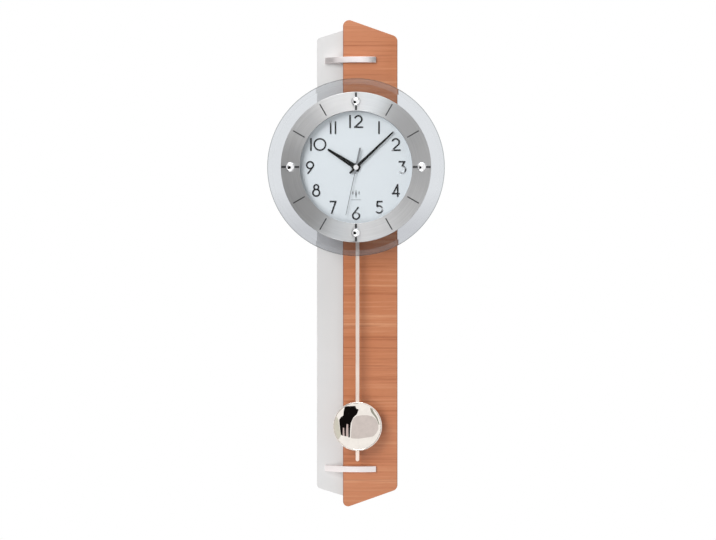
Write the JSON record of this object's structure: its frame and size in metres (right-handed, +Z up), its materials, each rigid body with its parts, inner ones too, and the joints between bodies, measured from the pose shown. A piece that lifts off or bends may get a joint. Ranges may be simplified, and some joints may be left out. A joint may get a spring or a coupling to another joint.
{
  "type": "pendulum wall clock",
  "caption": "Slim pendulum wall clock: two overlapping tall panels, a round glass head with a metal ring and raised numerals, curved bars and a mirror bob on a flat rod.",
  "frame": {"origin": "centre of the hanger plate's keyhole, on the wall plane", "axes": "+Z up, -Y out of the wall towards the viewer, +X to the viewer's right"},
  "size_m": [0.24, 0.0835, 0.6714],
  "materials": {
    "white_paint": "satin paint on fibreboard",
    "cherry_veneer": "satin lacquered veneer",
    "zinc_steel": "zinc plated",
    "satin_aluminium": "satin",
    "case_aluminium": "satin",
    "black_felt": "matt",
    "black_rubber": "matt",
    "dial_white": "matt white print",
    "spacer_plastic": "matt",
    "clear_glass": "polished",
    "nylon": "matt",
    "brushed_ring": "circular brushed",
    "black_paint": "satin",
    "polished_chrome": "polished",
    "polished_numeral": "polished dark metallic",
    "black_plastic": "matt",
    "brass": "turned",
    "battery_jacket": "gloss sleeve",
    "board_green": "lacquered",
    "ferrite": "matt",
    "copper_wire": "enamelled copper",
    "stator_steel": "rolled",
    "magnet_grey": "plated",
    "gear_plastic": "moulded",
    "black_hand": "satin black",
    "grey_hand": "satin grey",
    "rod_silver": "satin",
    "bob_chrome": "mirror polished",
    "red_plastic": "moulded"
  },
  "bodies": {
    "frame": {"back_panel": "white_paint", "wood_panel": "cherry_veneer", "panel_screws": "zinc_steel", "upper_bar": "satin_aluminium", "lower_bar": "satin_aluminium", "bar_screws": "zinc_steel", "hanger_plate": "zinc_steel", "hanger_screws": "zinc_steel", "wall_pads": "black_felt", "case_posts": "satin_aluminium", "post_screws": "zinc_steel", "dial_case": "case_aluminium", "dial_plate": "dial_white", "spacer_ring": "spacer_plastic", "glass_gasket": "black_rubber", "glass_disc": "clear_glass", "glass_sleeves": "nylon", "trim_ring": "brushed_ring", "hour_marks": "black_paint", "dome_studs": "polished_chrome", "numeral_1": "polished_numeral", "numeral_2": "polished_numeral", "numeral_3": "polished_numeral", "numeral_4": "polished_numeral", "numeral_5": "polished_numeral", "numeral_6": "polished_numeral", "numeral_7": "polished_numeral", "numeral_8": "polished_numeral", "numeral_9": "polished_numeral", "numeral_10": "polished_numeral", "numeral_11": "polished_numeral", "numeral_12": "polished_numeral", "movement_housing": "black_plastic", "movement_cover": "black_plastic", "rubber_washer": "black_rubber", "bushing_nut": "brass", "battery": "battery_jacket", "battery_contacts": "zinc_steel", "circuit_board": "board_green", "antenna_rod": "ferrite", "drive_coil": "copper_wire", "motor_coils": "copper_wire", "motor_stators": "stator_steel"},
    "hour_hand": {"hour_hand": "black_hand", "hour_wheel": "gear_plastic"},
    "minute_hand": {"minute_hand": "black_hand", "cannon_pinion": "gear_plastic"},
    "second_hand": {"second_hand": "grey_hand", "second_cap": "polished_chrome", "second_arbor": "gear_plastic"},
    "motion_wheel": {"motion_wheel": "gear_plastic"},
    "minute_rotor": {"minute_rotor": "magnet_grey"},
    "second_rotor": {"second_rotor": "magnet_grey"},
    "pendulum": {"pendulum_lever": "black_plastic", "drive_magnet": "magnet_grey", "pendulum_rod": "rod_silver", "bob_shell": "bob_chrome", "bob_back": "rod_silver"},
    "set_button": {"set_button": "red_plastic"},
    "reset_button": {"reset_button": "red_plastic"}
  },
  "joints": [
    {"name": "minute_turn", "type": "hinge", "parent": "frame", "child": "minute_hand", "pos_m": [0, -0.0659, -0.12], "axis": [0, 1, 0], "continuous": true},
    {"name": "motion_turn", "type": "hinge", "parent": "frame", "child": "motion_wheel", "pos_m": [-0.01039, -0.0659, -0.114], "axis": [0, 1, 0], "continuous": true},
    {"name": "hour_turn", "type": "hinge", "parent": "frame", "child": "hour_hand", "pos_m": [0, -0.0659, -0.12], "axis": [0, 1, 0], "continuous": true},
    {"name": "minute_rotor_turn", "type": "hinge", "parent": "frame", "child": "minute_rotor", "pos_m": [-0.00935, -0.0659, -0.1254], "axis": [0, 1, 0], "continuous": true},
    {"name": "second_turn", "type": "hinge", "parent": "frame", "child": "second_hand", "pos_m": [0, -0.0659, -0.12], "axis": [0, 1, 0], "continuous": true},
    {"name": "second_rotor_turn", "type": "hinge", "parent": "frame", "child": "second_rotor", "pos_m": [0.00935, -0.0659, -0.1254], "axis": [0, 1, 0], "continuous": true},
    {"name": "pendulum_swing", "type": "hinge", "parent": "frame", "child": "pendulum", "pos_m": [0.002, -0.0439, -0.109], "axis": [0, 1, 0], "range_deg": [-8, 8]},
    {"name": "set_press", "type": "slide", "parent": "frame", "child": "set_button", "axis": [0, -1, 0], "range_m": [0, 0.0008], "stiffness_N_per_m": 200, "springref_m": -0.0008},
    {"name": "reset_press", "type": "slide", "parent": "frame", "child": "reset_button", "axis": [0, -1, 0], "range_m": [0, 0.0008], "stiffness_N_per_m": 200, "springref_m": -0.0008}
  ],
  "couplings": [
    {"joint": "motion_turn", "follows": "minute_turn", "ratio": -0.33333},
    {"joint": "hour_turn", "follows": "minute_turn", "ratio": 0.083333},
    {"joint": "minute_rotor_turn", "follows": "minute_turn", "ratio": -5},
    {"joint": "second_rotor_turn", "follows": "second_turn", "ratio": -5}
  ]
}
